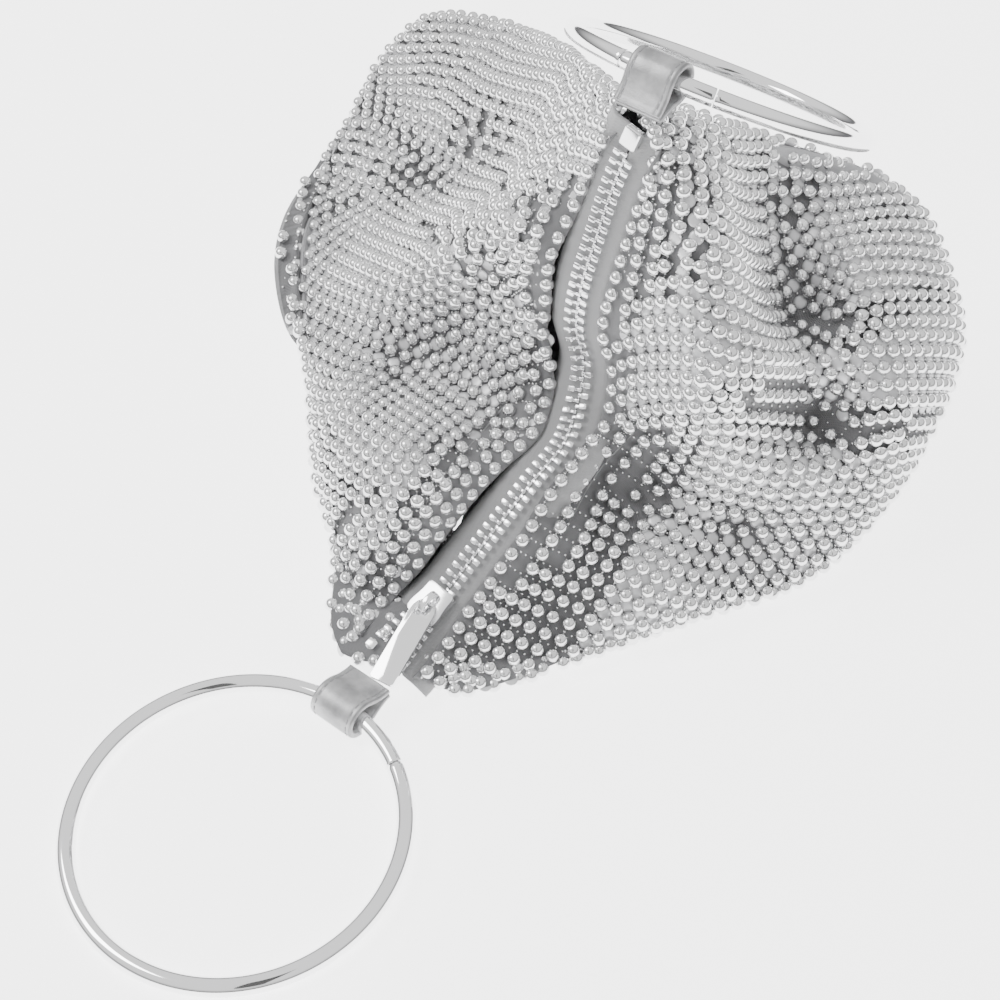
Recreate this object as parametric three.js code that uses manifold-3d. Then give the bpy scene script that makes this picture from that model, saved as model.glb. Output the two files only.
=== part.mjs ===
// Evening bag: a soft four-cornered pouch of ball mesh, closed by a metal zip that runs from its low front
// corner (N) to its high rear corner (F), with a leather loop and a round metal hand ring at each end.
// Millimetres, +Z up, +X along the zip from N to F, +Y to the bag's left.
import * as THREE from "three";
import { mergeVertices } from "three/addons/utils/BufferGeometryUtils.js";
import Module from "manifold-3d";

// ---- driving dimensions ----
const WIRE_R = 2.2; // ring wire radius
const RING_R = 37.8; // ring radius, to the middle of the wire
const RING_SIDES = 6;
const JOINT_FROM = -8; // the short ring section that passes through the loop, degrees round the ring
const JOINT_TO = 27;
const SEAM_GAP_DEG = 0.45; // seam between the two ring sections
const LOOP_WIDTH = 12.5; // leather loop, along the ring's wire
const LOOP_EYE_R = 3.5;
const LEATHER = 1.5;
const LOOP_TAIL = 9.4; // from the eye's middle to the sewn root
const MESH_THICK = 2.2;
const LINING_THICK = 0.8;
const LAYER_GAP = 2.2;
const TAPE_WIDTH = 5.8; // one side of the zip tape, from the teeth's middle line
const TAPE_THICK = 0.6;
const TAPE_DEPTH = 2.8; // tape below the crown of the balls
const PANEL_EDGE = 7.1; // panel edge from the zip's middle line
const TOOTH_PITCH = 2.4;
const TOOTH_TIP = 0.75; // how far a tooth reaches past the middle line
const TOOTH_ROOT = 2.45; // outer edge of a teeth row
const TOOTH_HALF_HEIGHT = 1.1;
const SLIDER_AT = 0.122; // slider, as a share of the zip's length from N
const SLIDER_LENGTH = 10;
const OPEN_SPREAD = 3.3; // half the distance between the teeth rows at N, past the slider
const PULL_LENGTH = 21;
const PULL_WIDTH = 6.3;
const PULL_THICK = 1.1;

// ---- the bag's shape ----
// The bag is described over a plane that leans back through its widest outline. A point is
// [across, up the slope, above the plane].
const LEAN = THREE.MathUtils.degToRad(41);
const TURN = THREE.MathUtils.degToRad(-52);
const LEAN_ORIGIN = new THREE.Vector3(-7, 1, 45);
const ACROSS = new THREE.Vector3(Math.cos(TURN), Math.sin(TURN), 0);
const BACKWARD = new THREE.Vector3(-Math.sin(TURN), Math.cos(TURN), 0);
const UPSLOPE = BACKWARD.clone().multiplyScalar(Math.cos(LEAN)).setZ(Math.sin(LEAN));
const ABOVE = BACKWARD.clone().multiplyScalar(-Math.sin(LEAN)).setZ(Math.cos(LEAN));
const PLANE_SCALE = 90; // keeps the spline's numbers near one

// The outline, anticlockwise from the right: right lobe, top edge, left lobe, left side, N, lower edge.
const OUTLINE = [
  [94, -3, -7], [91, 15, -9], [84, 30, -9], [70, 39, -6], [46, 44, 8], [22, 48, 21], [6, 52, 23],
  [-10, 80, -34], [-25, 94, -65], [-46, 100, -80], [-60, 90, -83], [-69, 70, -73], [-77, 53, -66],
  [-84, 29, -49], [-83, 8, -38], [-77, -14, -21], [-73, -41, -4], [-67, -60, 6], [-66, -78, 16],
  [-57, -90, 24], [-39, -93, 26], [-25, -91, 23], [-1, -84, 17], [23, -76, 12], [53, -66, 5],
  [74, -46, 1], [90, -18, -4],
];
// The zip's middle line, from N up over the front hump, down into the cross fold and up to F.
const ZIP_LINE = [
  [-54, -84, 25], [-41, -70, 21], [-29, -55, 22], [-18, -41, 22], [-10, -31, 20], [-7, -22, 17],
  [-6, -14, 18], [-8, -6, 22], [-7, 4, 29], [-4, 14, 35], [0, 26, 42], [5, 37, 52],
];
// Crests and folds of the left panel: upper left fold, band beside the zip, left lobe, cross fold,
// front lobe.
const LEFT_RELIEF = [
  [-14, 48, 2], [-25, 46, -22], [-41, 39, -37], [-52, 36, -40], [-69, 25, -42],
  [-20, 14, 33], [-36, 15, 14], [-50, 16, -7], [-64, 13, -23], [-11, 28, 33], [-23, 24, 25],
  [-30, 8, 11], [-16, -3, 20], [-30, 75, -45], [-20, 63, -19], [-53, 64, -57], [-39, 60, -40],
  [-64, 49, -55], [-70, 2, -27], [-52, -13, -10], [-37, -14, -3], [-25, -22, 6], [-14, -29, 14],
  [-63, -21, 4], [-49, -29, 20], [-37, -34, 26], [-25, -41, 26], [-58, -39, 19], [-56, -60, 19],
  [-48, -60, 24], [-41, -55, 28], [-61, -73, 17],
];
// Crests and folds of the right panel: edge crest, panel beside the zip, cross fold, lower front,
// side fold, right lobe.
const RIGHT_RELIEF = [
  [17, 36, 48], [23, 22, 51], [29, 7, 48], [40, -14, 40], [49, -39, 24], [55, -58, 9],
  [19, -2, 51], [10, 20, 52], [9, -1, 42], [19, -23, 46], [7, -20, 30], [-1, -22, 18],
  [35, -30, 32], [31, -41, 26], [0, -33, 16], [10, -46, 14], [33, -53, 13],
  [-11, -55, 24], [8, -60, 24], [-11, -74, 22], [22, -67, 20], [-30, -78, 25], [-25, -67, 25],
  [40, -61, 12], [39, 26, 16], [45, 12, 12], [47, -2, 14], [52, -27, 16],
  [58, 14, 19], [70, 22, 8], [57, -6, 25], [68, -6, 25], [79, 3, 12], [64, -27, 25], [64, -46, 14],
];
// The hidden side: rear wall under the top edge, then points under the floor, where the bag rests flat.
const REAR_RELIEF = [
  [22, 39, -1], [20, 32, -35], [18, 22, -60], [52, 28, -15], [48, 8, -42], [74, 12, -22],
  [-4, 58, -65], [-6, 42, -92], [-28, 76, -92], [-38, 58, -101],
  [-58, 20, -70], [-60, -20, -36], [5, -12, -62], [-25, -20, -54], [-50, -60, 2], [-20, -70, 6],
  [20, -50, -16], [-40, 20, -84], [0, 15, -84], [30, -20, -50], [55, -25, -40],
];
const REST_FLOOR = 0;
const LEAST_DEPTH = 5; // least half thickness of the hidden side, near the outline
const NORMAL_PASSES = 5;
const LINING_CLEAR_OF_N = 5; // rows of the panel grid
const LINING_CLEAR_OF_F = 4;
const THIN_AT_N = 0.35; // share of the mesh's thickness at its narrow front corner
const STEPS_ALONG = 28; // panel grid, from N to F
const STEPS_FRONT = 11; // panel grid, from the zip to the outline
const STEPS_UNDER = 8; // panel grid, from the outline to the base seam

const wasm = await Module();
wasm.setup();

// ---- small mathematics ----
function solveLinear(matrix, values) {
  const n = values.length;
  const rows = matrix.map((row, i) => [...row, values[i]]);
  for (let c = 0; c < n; c++) {
    let best = c;
    for (let r = c + 1; r < n; r++) if (Math.abs(rows[r][c]) > Math.abs(rows[best][c])) best = r;
    [rows[c], rows[best]] = [rows[best], rows[c]];
    for (let r = c + 1; r < n; r++) {
      const share = rows[r][c] / rows[c][c];
      for (let k = c; k <= n; k++) rows[r][k] -= share * rows[c][k];
    }
  }
  const out = new Array(n).fill(0);
  for (let r = n - 1; r >= 0; r--) {
    let sum = rows[r][n];
    for (let k = r + 1; k < n; k++) sum -= rows[r][k] * out[k];
    out[r] = sum / rows[r][r];
  }
  return out;
}

// A thin-plate spline: the smoothest height over the plane that passes through all the given points.
function thinPlate(points, heights) {
  const bend = (a, b) => {
    const d2 = (a[0] - b[0]) ** 2 + (a[1] - b[1]) ** 2;
    return d2 > 0 ? 0.5 * d2 * Math.log(d2) : 0;
  };
  const flat = points.map(([x, y]) => [x / PLANE_SCALE, y / PLANE_SCALE]);
  const n = flat.length;
  const matrix = flat.map((p) => [...flat.map((q) => bend(p, q)), 1, p[0], p[1]]);
  matrix.push([...flat.map(() => 1), 0, 0, 0]);
  matrix.push([...flat.map((p) => p[0]), 0, 0, 0]);
  matrix.push([...flat.map((p) => p[1]), 0, 0, 0]);
  const w = solveLinear(matrix, [...heights, 0, 0, 0]);
  return (x, y) => {
    const p = [x / PLANE_SCALE, y / PLANE_SCALE];
    let sum = w[n] + w[n + 1] * p[0] + w[n + 2] * p[1];
    flat.forEach((q, i) => (sum += w[i] * bend(p, q)));
    return sum;
  };
}

// The outline's distance from the middle at an angle: a closed curve through the outline's points.
const outlineCurve = new THREE.CatmullRomCurve3(
  OUTLINE.map(([x, y]) => new THREE.Vector3(x, y, 0)), true, "centripetal",
).getPoints(720);
function outlineRadius(angle) {
  const ray = [Math.cos(angle), Math.sin(angle)];
  let radius = 0;
  for (let i = 0; i + 1 < outlineCurve.length; i++) {
    const [a, b] = [outlineCurve[i], outlineCurve[i + 1]];
    const sideA = ray[0] * a.y - ray[1] * a.x;
    const sideB = ray[0] * b.y - ray[1] * b.x;
    if (sideA * sideB > 0 || sideA === sideB) continue;
    const t = sideA / (sideA - sideB);
    const along = (a.x + (b.x - a.x) * t) * ray[0] + (a.y + (b.y - a.y) * t) * ray[1];
    radius = Math.max(radius, along);
  }
  return radius;
}

// The share of the way from the middle to the outline, and the rounding of the section there.
const shareOut = (x, y) => Math.hypot(x, y) / outlineRadius(Math.atan2(y, x));
const rounding = (share) => Math.sqrt(Math.max(0.04, 1 - share * share));
const middleSheet = thinPlate(OUTLINE, OUTLINE.map((p) => p[2]));
const relief = (points) =>
  thinPlate(points, points.map(([x, y, h]) => (h - middleSheet(x, y)) / rounding(shareOut(x, y))));
const frontRelief = relief([...ZIP_LINE, ...LEFT_RELIEF, ...RIGHT_RELIEF]);
const rearRelief = relief(REAR_RELIEF);

function fromLean(x, y, h) {
  return LEAN_ORIGIN.clone()
    .addScaledVector(ACROSS, x)
    .addScaledVector(UPSLOPE, y)
    .addScaledVector(ABOVE, h);
}

// A point of the bag's skin. disc is its place in the outline scaled to a unit circle; front says which side.
function skin(disc, front) {
  const share = Math.min(1, disc.length());
  const angle = Math.atan2(disc.y, disc.x);
  const radius = outlineRadius(angle) * share;
  const x = radius * Math.cos(angle);
  const y = radius * Math.sin(angle);
  const round = Math.sqrt(1 - share * share);
  const swell = front ? frontRelief(x, y) : Math.min(-LEAST_DEPTH, rearRelief(x, y));
  const point = fromLean(x, y, middleSheet(x, y) + round * swell);
  if (point.z < REST_FLOOR) {
    const floorHeight = (REST_FLOOR - LEAN_ORIGIN.z - y * UPSLOPE.z) / ABOVE.z;
    return fromLean(x, y, floorHeight);
  }
  return point;
}

// ---- the zip's line ----
const zipCurve = new THREE.CatmullRomCurve3(ZIP_LINE.map((p) => fromLean(...p)), false, "centripetal");
const ZIP_LENGTH = zipCurve.getLength();
// Frame of the zip at a share of its length: along, left and out, with the tape's own depth taken off.
function zipFrame(share) {
  const along = zipCurve.getTangentAt(share);
  const out = along.clone().cross(new THREE.Vector3(0, 1, 0)).normalize();
  const left = out.clone().cross(along).normalize();
  const at = zipCurve.getPointAt(share).addScaledVector(out, -TAPE_DEPTH);
  return { along, left, out, at };
}
// Half the distance between the two tapes, which part towards N once past the slider.
function opening(share) {
  const t = THREE.MathUtils.clamp((SLIDER_AT + 0.03 - share) / SLIDER_AT, 0, 1);
  return OPEN_SPREAD * t;
}

// ---- building closed bodies ----
function bodyFrom(positions, faces) {
  const geometry = new THREE.BufferGeometry();
  const numbers = positions.flatMap((p) => p.toArray());
  geometry.setAttribute("position", new THREE.Float32BufferAttribute(numbers, 3));
  geometry.setIndex(faces);
  geometry.computeVertexNormals();
  return geometry;
}

// A closed body from rings of points: each ring joins the next, and the first and last are capped.
function loft(rings) {
  const sides = rings[0].length;
  const faces = [];
  for (let i = 0; i + 1 < rings.length; i++) {
    for (let j = 0; j < sides; j++) {
      const a = i * sides + j;
      const b = i * sides + ((j + 1) % sides);
      faces.push(a, b, a + sides, b, b + sides, a + sides);
    }
  }
  const last = (rings.length - 1) * sides;
  for (let j = 1; j + 1 < sides; j++) {
    faces.push(0, j + 1, j);
    faces.push(last, last + j, last + j + 1);
  }
  return bodyFrom(rings.flat(), faces);
}

// A closed sheet from a grid of outer points and the matching grid of inner points.
function sheetBody(outer, inner) {
  const rows = outer.length;
  const cols = outer[0].length;
  const id = (r, c, layer) => layer * rows * cols + r * cols + c;
  const faces = [];
  const quad = (a, b, c, d) => faces.push(a, c, b, a, d, c);
  for (let r = 0; r + 1 < rows; r++) {
    for (let c = 0; c + 1 < cols; c++) {
      quad(id(r, c, 0), id(r, c + 1, 0), id(r + 1, c + 1, 0), id(r + 1, c, 0));
      quad(id(r, c, 1), id(r + 1, c, 1), id(r + 1, c + 1, 1), id(r, c + 1, 1));
    }
  }
  for (let r = 0; r + 1 < rows; r++) {
    quad(id(r, 0, 0), id(r + 1, 0, 0), id(r + 1, 0, 1), id(r, 0, 1));
    quad(id(r, cols - 1, 0), id(r, cols - 1, 1), id(r + 1, cols - 1, 1), id(r + 1, cols - 1, 0));
  }
  for (let c = 0; c + 1 < cols; c++) {
    quad(id(0, c, 0), id(0, c, 1), id(0, c + 1, 1), id(0, c + 1, 0));
    quad(id(rows - 1, c, 0), id(rows - 1, c + 1, 0), id(rows - 1, c + 1, 1), id(rows - 1, c, 1));
  }
  return bodyFrom([...outer.flat(), ...inner.flat()], faces);
}

function solid(geometry) {
  const bare = geometry.clone();
  bare.deleteAttribute("normal");
  bare.deleteAttribute("uv");
  const merged = mergeVertices(bare, 1e-4);
  return new wasm.Manifold(new wasm.Mesh({
    numProp: 3,
    vertProperties: merged.attributes.position.array,
    triVerts: new Uint32Array(merged.index.array),
  }));
}

function fromSolid(made) {
  const mesh = made.getMesh();
  const geometry = new THREE.BufferGeometry();
  geometry.setAttribute("position", new THREE.BufferAttribute(mesh.vertProperties, 3));
  geometry.setIndex(new THREE.BufferAttribute(mesh.triVerts, 1));
  geometry.computeVertexNormals();
  return geometry;
}

// ---- materials ----
const paint = (color, roughness, metalness) => new THREE.MeshStandardMaterial({ color, roughness, metalness });
const MATERIALS = {
  ballMesh: paint(0xc9c9cb, 0.25, 0.9),
  lining: paint(0x8d8e91, 0.8, 0),
  tape: paint(0x9fa0a2, 0.75, 0.1),
  teeth: paint(0xdedee0, 0.2, 1),
  chrome: paint(0xe4e5e7, 0.08, 1),
  leather: paint(0xb0b1b3, 0.42, 0.35),
};

// ---- panels and lining ----
const discOf = (x, y) => {
  const share = shareOut(x, y);
  const angle = Math.atan2(y, x);
  return new THREE.Vector2(share * Math.cos(angle), share * Math.sin(angle));
};
const planeOf = (point) => {
  const d = point.clone().sub(LEAN_ORIGIN);
  return [d.dot(ACROSS), d.dot(UPSLOPE)];
};
// Where each panel's edge leaves the outline at N and at F, as angles in the leaning plane.
const CORNERS = {
  1: { atN: Math.atan2(-84, -61), atF: Math.atan2(53, 5) - 2 * Math.PI },
  [-1]: { atN: Math.atan2(-93, -36), atF: Math.atan2(53, 6) },
};
const SEAM_N = new THREE.Vector2(-0.43, -0.81);
const SEAM_F = new THREE.Vector2(0.11, 0.975);
const PANEL_FROM = 0.03; // the panels' span along the zip
const PANEL_SPAN = 0.915;

// Grid of skin points of one panel: rows from N to F, columns from the zip over the outline to the base seam.
function panelGrid(side) {
  const rows = [];
  for (let i = 0; i <= STEPS_ALONG; i++) {
    const t = i / STEPS_ALONG;
    const share = PANEL_FROM + PANEL_SPAN * t;
    const frame = zipFrame(share);
    const reach = PANEL_EDGE + opening(share);
    const edge = frame.at.clone().addScaledVector(frame.left, side * reach)
      .addScaledVector(frame.out, TAPE_DEPTH);
    const start = discOf(...planeOf(edge));
    const { atN, atF } = CORNERS[side];
    const rimAngle = atN + (atF - atN) * (0.01 + 0.98 * t);
    const rim = new THREE.Vector2(Math.cos(rimAngle), Math.sin(rimAngle));
    const seam = SEAM_N.clone().lerp(SEAM_F, t).add(new THREE.Vector2(-0.008 * side, 0));
    const lift = edge.clone().sub(skin(start, true));
    const row = [];
    for (let j = 0; j <= STEPS_FRONT; j++) {
      const way = j / STEPS_FRONT;
      const point = skin(start.clone().lerp(rim, Math.sin((way * Math.PI) / 2)), true);
      row.push(point.addScaledVector(lift, Math.max(0, 1 - 3 * way) ** 2));
    }
    for (let j = 1; j <= STEPS_UNDER; j++) {
      const way = 1 - Math.cos((j / STEPS_UNDER) * (Math.PI / 2));
      row.push(skin(rim.clone().lerp(seam, way), false));
    }
    rows.push(row);
  }
  return rows;
}

// Inward direction at the zip: down past the tape, and a little away from it.
function besideZip(row, side) {
  const { left, out } = zipFrame(PANEL_FROM + (PANEL_SPAN * row) / STEPS_ALONG);
  return left.clone().multiplyScalar(side * 0.25).sub(out).normalize();
}

// Inward directions of a grid's points: its normals, evened out over their neighbours.
function inwards(grid, side) {
  const at = (rows, r, c) =>
    rows[THREE.MathUtils.clamp(r, 0, rows.length - 1)][THREE.MathUtils.clamp(c, 0, rows[0].length - 1)];
  let field = grid.map((row, r) => row.map((_, c) => {
    if (c === 0) return besideZip(r, side);
    const along = at(grid, r + 1, c).clone().sub(at(grid, r - 1, c));
    const across = at(grid, r, c + 1).clone().sub(at(grid, r, c - 1));
    return along.cross(across).multiplyScalar(-side).normalize();
  }));
  for (let pass = 0; pass < NORMAL_PASSES; pass++) {
    field = field.map((row, r) => row.map((direction, c) => {
      if (c === 0) return direction;
      const sum = direction.clone();
      for (const [dr, dc] of [[1, 0], [-1, 0], [0, 1], [0, -1]]) sum.add(at(field, r + dr, c + dc));
      return sum.normalize();
    }));
  }
  return field;
}

// The faces of one side's layers, from outside in: mesh outer and inner, lining outer and inner.
function layers(side) {
  const grid = panelGrid(side);
  const field = inwards(grid, side);
  const depths = [0, MESH_THICK, MESH_THICK + LAYER_GAP, MESH_THICK + LAYER_GAP + LINING_THICK];
  return depths.map((depth) => grid.map((row, r) => row.map((point, c) => {
    const kept = depth * Math.min(1, THIN_AT_N + (r * (1 - THIN_AT_N)) / LINING_CLEAR_OF_N);
    const moved = point.clone().addScaledVector(field[r][c], kept);
    moved.z = Math.max(moved.z, REST_FLOOR + kept);
    return moved;
  })));
}

// The lining stops short of both corners, and starts a little way from the tape.
const trimForLining = (grid) =>
  grid.slice(LINING_CLEAR_OF_N, -LINING_CLEAR_OF_F).map((row) => row.slice(1));

function sheet(side, outer, inner) {
  const order = (grid) => (side > 0 ? grid : grid.map((row) => [...row].reverse()));
  return sheetBody(order(outer), order(inner));
}

// ---- zip ----
function ribbon(side, near, far, low, high, from, to, steps) {
  const rings = [];
  for (let i = 0; i <= steps; i++) {
    const share = from + ((to - from) * i) / steps;
    const { left, out, at } = zipFrame(share);
    const inside = typeof near === "function" ? near(i) : near;
    const corner = (across, height) =>
      at.clone().addScaledVector(left, side * (across + opening(share))).addScaledVector(out, height);
    const ring = [corner(inside, low), corner(far, low), corner(far, high), corner(inside, high)];
    rings.push(side > 0 ? ring : ring.reverse());
  }
  return loft(rings);
}

const zipTape = (side) => ribbon(side, 0.2, TAPE_WIDTH, -TAPE_THICK / 2, TAPE_THICK / 2, 0.02, 0.985, 48);

// A row of teeth joined by its cord, standing on the tape: its inner edge steps in and out at the pitch.
function teethRow(side) {
  const steps = 2 * Math.floor((0.92 * ZIP_LENGTH) / TOOTH_PITCH);
  const reach = (i) => (((i % 2 === 0) === (side > 0)) ? -TOOTH_TIP + 0.35 : TOOTH_TIP + 0.35);
  return ribbon(side, reach, TOOTH_ROOT, TAPE_THICK / 2 + 0.3, TOOTH_HALF_HEIGHT + 0.9, 0.03, 0.95, steps);
}

function block(length, width, height) {
  return new THREE.BoxGeometry(length, width, height);
}

// Places a mesh in the zip's frame at a share of its length.
function onZip(mesh, share, height, across = 0) {
  const { along, left, out, at } = zipFrame(share);
  mesh.position.copy(at).addScaledVector(out, height).addScaledVector(left, across);
  mesh.quaternion.setFromRotationMatrix(new THREE.Matrix4().makeBasis(along, left, out));
  return mesh;
}

// ---- slider and pull ----
function plateShape(length, front, rear) {
  const s = new THREE.Shape();
  s.moveTo(-length / 2 + 1, -front + 1.2);
  s.quadraticCurveTo(-length / 2 + 1.2, -front, -length / 2 + 2.8, -front);
  s.bezierCurveTo(0, -front, 0, -rear, length / 2 - 1, -rear);
  s.quadraticCurveTo(length / 2, -rear, length / 2, -rear + 1);
  s.lineTo(length / 2, rear - 1);
  s.quadraticCurveTo(length / 2, rear, length / 2 - 1, rear);
  s.bezierCurveTo(0, rear, 0, front, -length / 2 + 2.8, front);
  s.quadraticCurveTo(-length / 2 + 1.2, front, -length / 2 + 1, front - 1.2);
  s.lineTo(-length / 2, 0);
  s.closePath();
  return s;
}

function sliderBody() {
  const plate = (z, thick) => {
    const g = new THREE.ExtrudeGeometry(plateShape(SLIDER_LENGTH, 4.4, 3.85), {
      depth: thick, bevelEnabled: false, curveSegments: 5,
    });
    g.translate(0, 0, z);
    return solid(g);
  };
  const post = block(1.4, 1.2, 4.6).translate(-SLIDER_LENGTH / 2 + 1.4, 0, 0.9);
  let made = plate(2.35, 1).add(plate(-1.6, 0.9)).add(solid(post));
  for (const side of [1, -1]) {
    made = made.add(solid(block(4.4, 0.5, 1.7).translate(2.4, side * 3.6, 1.7)));
  }
  return fromSolid(made);
}

const BRIDGE_WIDTH = 1.6;
const EYE_HALF = 1.9; // half the width of the hole in the pull's eye
const EYE_BAR = 1.35; // from the eye's own middle to the middle of its front bar, which the pull turns about

// The raised bridge on the slider that holds the pull's eye.
function sliderBridge() {
  const s = new THREE.Shape();
  s.moveTo(-3, 0);
  s.lineTo(-3, 1.1);
  s.bezierCurveTo(-3, 3.3, 3, 3.3, 3.2, 1.1);
  s.lineTo(3.2, 0);
  s.lineTo(2, 0);
  s.lineTo(2, 0.8);
  s.bezierCurveTo(1.8, 2, -1.8, 2, -1.9, 0.8);
  s.lineTo(-1.9, 0);
  s.closePath();
  const g = new THREE.ExtrudeGeometry(s, { depth: BRIDGE_WIDTH, bevelEnabled: false, curveSegments: 6 });
  g.rotateX(Math.PI / 2);
  g.translate(0, BRIDGE_WIDTH / 2, 0);
  return g;
}

// A flat bar with an eye at one end. Its own origin is the middle of the eye's front bar, and it points along -X.
function pullTab() {
  const half = PULL_WIDTH / 2;
  const s = new THREE.Shape();
  s.moveTo(-PULL_LENGTH, -half + 0.5);
  s.lineTo(-PULL_LENGTH + 0.5, -half);
  s.lineTo(-3.4, -half);
  s.bezierCurveTo(-1.4, -half, 1.9, -2.9, 1.9, 0);
  s.bezierCurveTo(1.9, 2.9, -1.4, half, -3.4, half);
  s.lineTo(-PULL_LENGTH + 0.5, half);
  s.lineTo(-PULL_LENGTH, half - 0.5);
  s.closePath();
  const eye = new THREE.Path();
  eye.moveTo(-2.7, -EYE_HALF);
  eye.lineTo(-2.7, EYE_HALF);
  eye.lineTo(0.8, EYE_HALF);
  eye.lineTo(0.8, -EYE_HALF);
  eye.closePath();
  s.holes.push(eye);
  const g = new THREE.ExtrudeGeometry(s, { depth: PULL_THICK, bevelEnabled: false, curveSegments: 5 });
  g.translate(-EYE_BAR, 0, -PULL_THICK / 2);
  return g;
}

// ---- leather loop and ring ----
// The loop's side view: leather round the eye that narrows into two layers at the sewn root, along +X.
function leatherLoop() {
  const outerR = LOOP_EYE_R + LEATHER;
  const tailHalf = LEATHER + 0.2;
  const s = new THREE.Shape();
  s.moveTo(LOOP_TAIL, -tailHalf);
  s.lineTo(LOOP_TAIL, tailHalf);
  s.bezierCurveTo(7, tailHalf, 5, outerR, 0, outerR);
  s.absarc(0, 0, outerR, Math.PI / 2, (3 * Math.PI) / 2, false);
  s.bezierCurveTo(5, -outerR, 7, -tailHalf, LOOP_TAIL, -tailHalf);
  const eye = new THREE.Path();
  eye.moveTo(5.6, 0);
  eye.bezierCurveTo(4.4, -1.6, 3, -LOOP_EYE_R, 0, -LOOP_EYE_R);
  eye.absarc(0, 0, LOOP_EYE_R, (3 * Math.PI) / 2, Math.PI / 2, true);
  eye.bezierCurveTo(3, LOOP_EYE_R, 4.4, 1.6, 5.6, 0);
  s.holes.push(eye);
  const g = new THREE.ExtrudeGeometry(s, { depth: LOOP_WIDTH, bevelEnabled: false, curveSegments: 8 });
  g.rotateX(Math.PI / 2);
  g.translate(0, LOOP_WIDTH / 2, 0);
  return g;
}

// Part of a ring in the XY plane, centred on the origin. Zero degrees is at -X, and degrees run towards +Y.
class RingPath extends THREE.Curve {
  constructor(from, to) {
    super();
    this.from = THREE.MathUtils.degToRad(from);
    this.to = THREE.MathUtils.degToRad(to);
  }
  getPoint(t, target = new THREE.Vector3()) {
    const angle = this.from + (this.to - this.from) * t;
    return target.set(-RING_R * Math.cos(angle), RING_R * Math.sin(angle), 0);
  }
}

function ringSection(from, to, steps) {
  const section = new THREE.Shape().absarc(0, 0, WIRE_R, 0, 2 * Math.PI, false);
  return new THREE.ExtrudeGeometry(section, {
    extrudePath: new RingPath(from, to), steps, curveSegments: RING_SIDES, bevelEnabled: false,
  });
}

// ---- assembly ----
const bag = new THREE.Group();
function place(name, geometry, material, parent = bag) {
  const mesh = new THREE.Mesh(geometry, MATERIALS[material]);
  mesh.name = name;
  parent.add(mesh);
  return mesh;
}

const SIDES = [["left", 1], ["right", -1]];
for (const [word, side] of SIDES) {
  const skins = layers(side);
  place(`mesh_panel_${word}`, sheet(side, skins[0], skins[1]), "ballMesh");
  const [liningOuter, liningInner] = skins.slice(2).map(trimForLining);
  place(`lining_${word}`, sheet(side, liningOuter, liningInner), "lining");
  place(`zip_tape_${word}`, zipTape(side), "tape");
  place(`zip_teeth_${word}`, teethRow(side), "teeth");
  const stop = place(`zip_top_stop_${word}`, block(2.2, 2.6, 1.6), "chrome");
  onZip(stop, 0.018, 1.3, side * (1.6 + opening(0.018)));
}
onZip(place("zip_bottom_stop", block(5, 4.4, 2.2), "chrome"), 0.974, 1.6);
onZip(place("slider_body", sliderBody(), "chrome"), SLIDER_AT, 0);
onZip(place("slider_bridge", sliderBridge(), "chrome"), SLIDER_AT, 3.65);

const PULL_PITCH = THREE.MathUtils.degToRad(-15); // the pull's free end hangs lower than its eye
const PULL_YAW = THREE.MathUtils.degToRad(8.5);
const PULL_LIFT = 4.42; // of the eye's front bar, above the tape's own depth
const pullFrame = zipFrame(SLIDER_AT);
const pull = place("pull_tab", pullTab(), "chrome");
pull.position.copy(pullFrame.at).addScaledVector(pullFrame.out, PULL_LIFT).addScaledVector(pullFrame.along, 0.1);
pull.rotation.set(0, PULL_PITCH, PULL_YAW, "ZYX");

// Each end: the eye's middle, the loop's pitch, then the ring's middle offset sideways and its pitch.
const ENDS = [
  { word: "front", eye: [-115.8, -6, LOOP_EYE_R + LEATHER], loopPitch: 0, ringPitch: 2.12, flip: 1, aside: -1.4 },
  { word: "rear", eye: [1.4, -5.5, 115.2], loopPitch: 150, ringPitch: 33, flip: -1, aside: 2.2 },
];
for (const { word, eye, loopPitch, ringPitch, flip, aside } of ENDS) {
  const loop = place(`leather_loop_${word}`, leatherLoop(), "leather");
  loop.position.set(...eye);
  loop.rotation.y = THREE.MathUtils.degToRad(loopPitch);
  const ring = new THREE.Group();
  const pitch = THREE.MathUtils.degToRad(ringPitch);
  const reach = Math.sqrt(RING_R ** 2 - aside ** 2);
  ring.position.set(eye[0] - flip * reach * Math.cos(pitch), eye[1] + aside, eye[2] - reach * Math.sin(pitch));
  ring.rotation.y = flip > 0 ? -pitch : pitch;
  ring.rotation.z = flip > 0 ? Math.PI : 0;
  ring.rotation.order = "YXZ";
  const nearAngle = (Math.asin(-aside / RING_R) * 180) / Math.PI;
  const from = nearAngle * flip + (flip > 0 ? JOINT_FROM : -JOINT_TO);
  const to = nearAngle * flip + (flip > 0 ? JOINT_TO : -JOINT_FROM);
  place(`ring_joint_${word}`, ringSection(from, to, 6), "chrome", ring);
  place(`ring_hoop_${word}`, ringSection(to + SEAM_GAP_DEG, from + 360 - SEAM_GAP_DEG, 54), "chrome", ring);
  bag.add(ring);
}

// The origin is the middle of the whole object's footprint, on the surface it lies on.
bag.updateMatrixWorld(true);
const bounds = new THREE.Box3().setFromObject(bag, true);
const middle = bounds.getCenter(new THREE.Vector3());
bag.position.set(-middle.x, -middle.y, -bounds.min.z);

export default bag;
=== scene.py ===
"""Evening bag: a soft pouch of silver ball mesh with a zip, two leather loops and two hand rings."""

import math

import bmesh
import bpy
import numpy as np
from mathutils import Matrix, Vector


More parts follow.
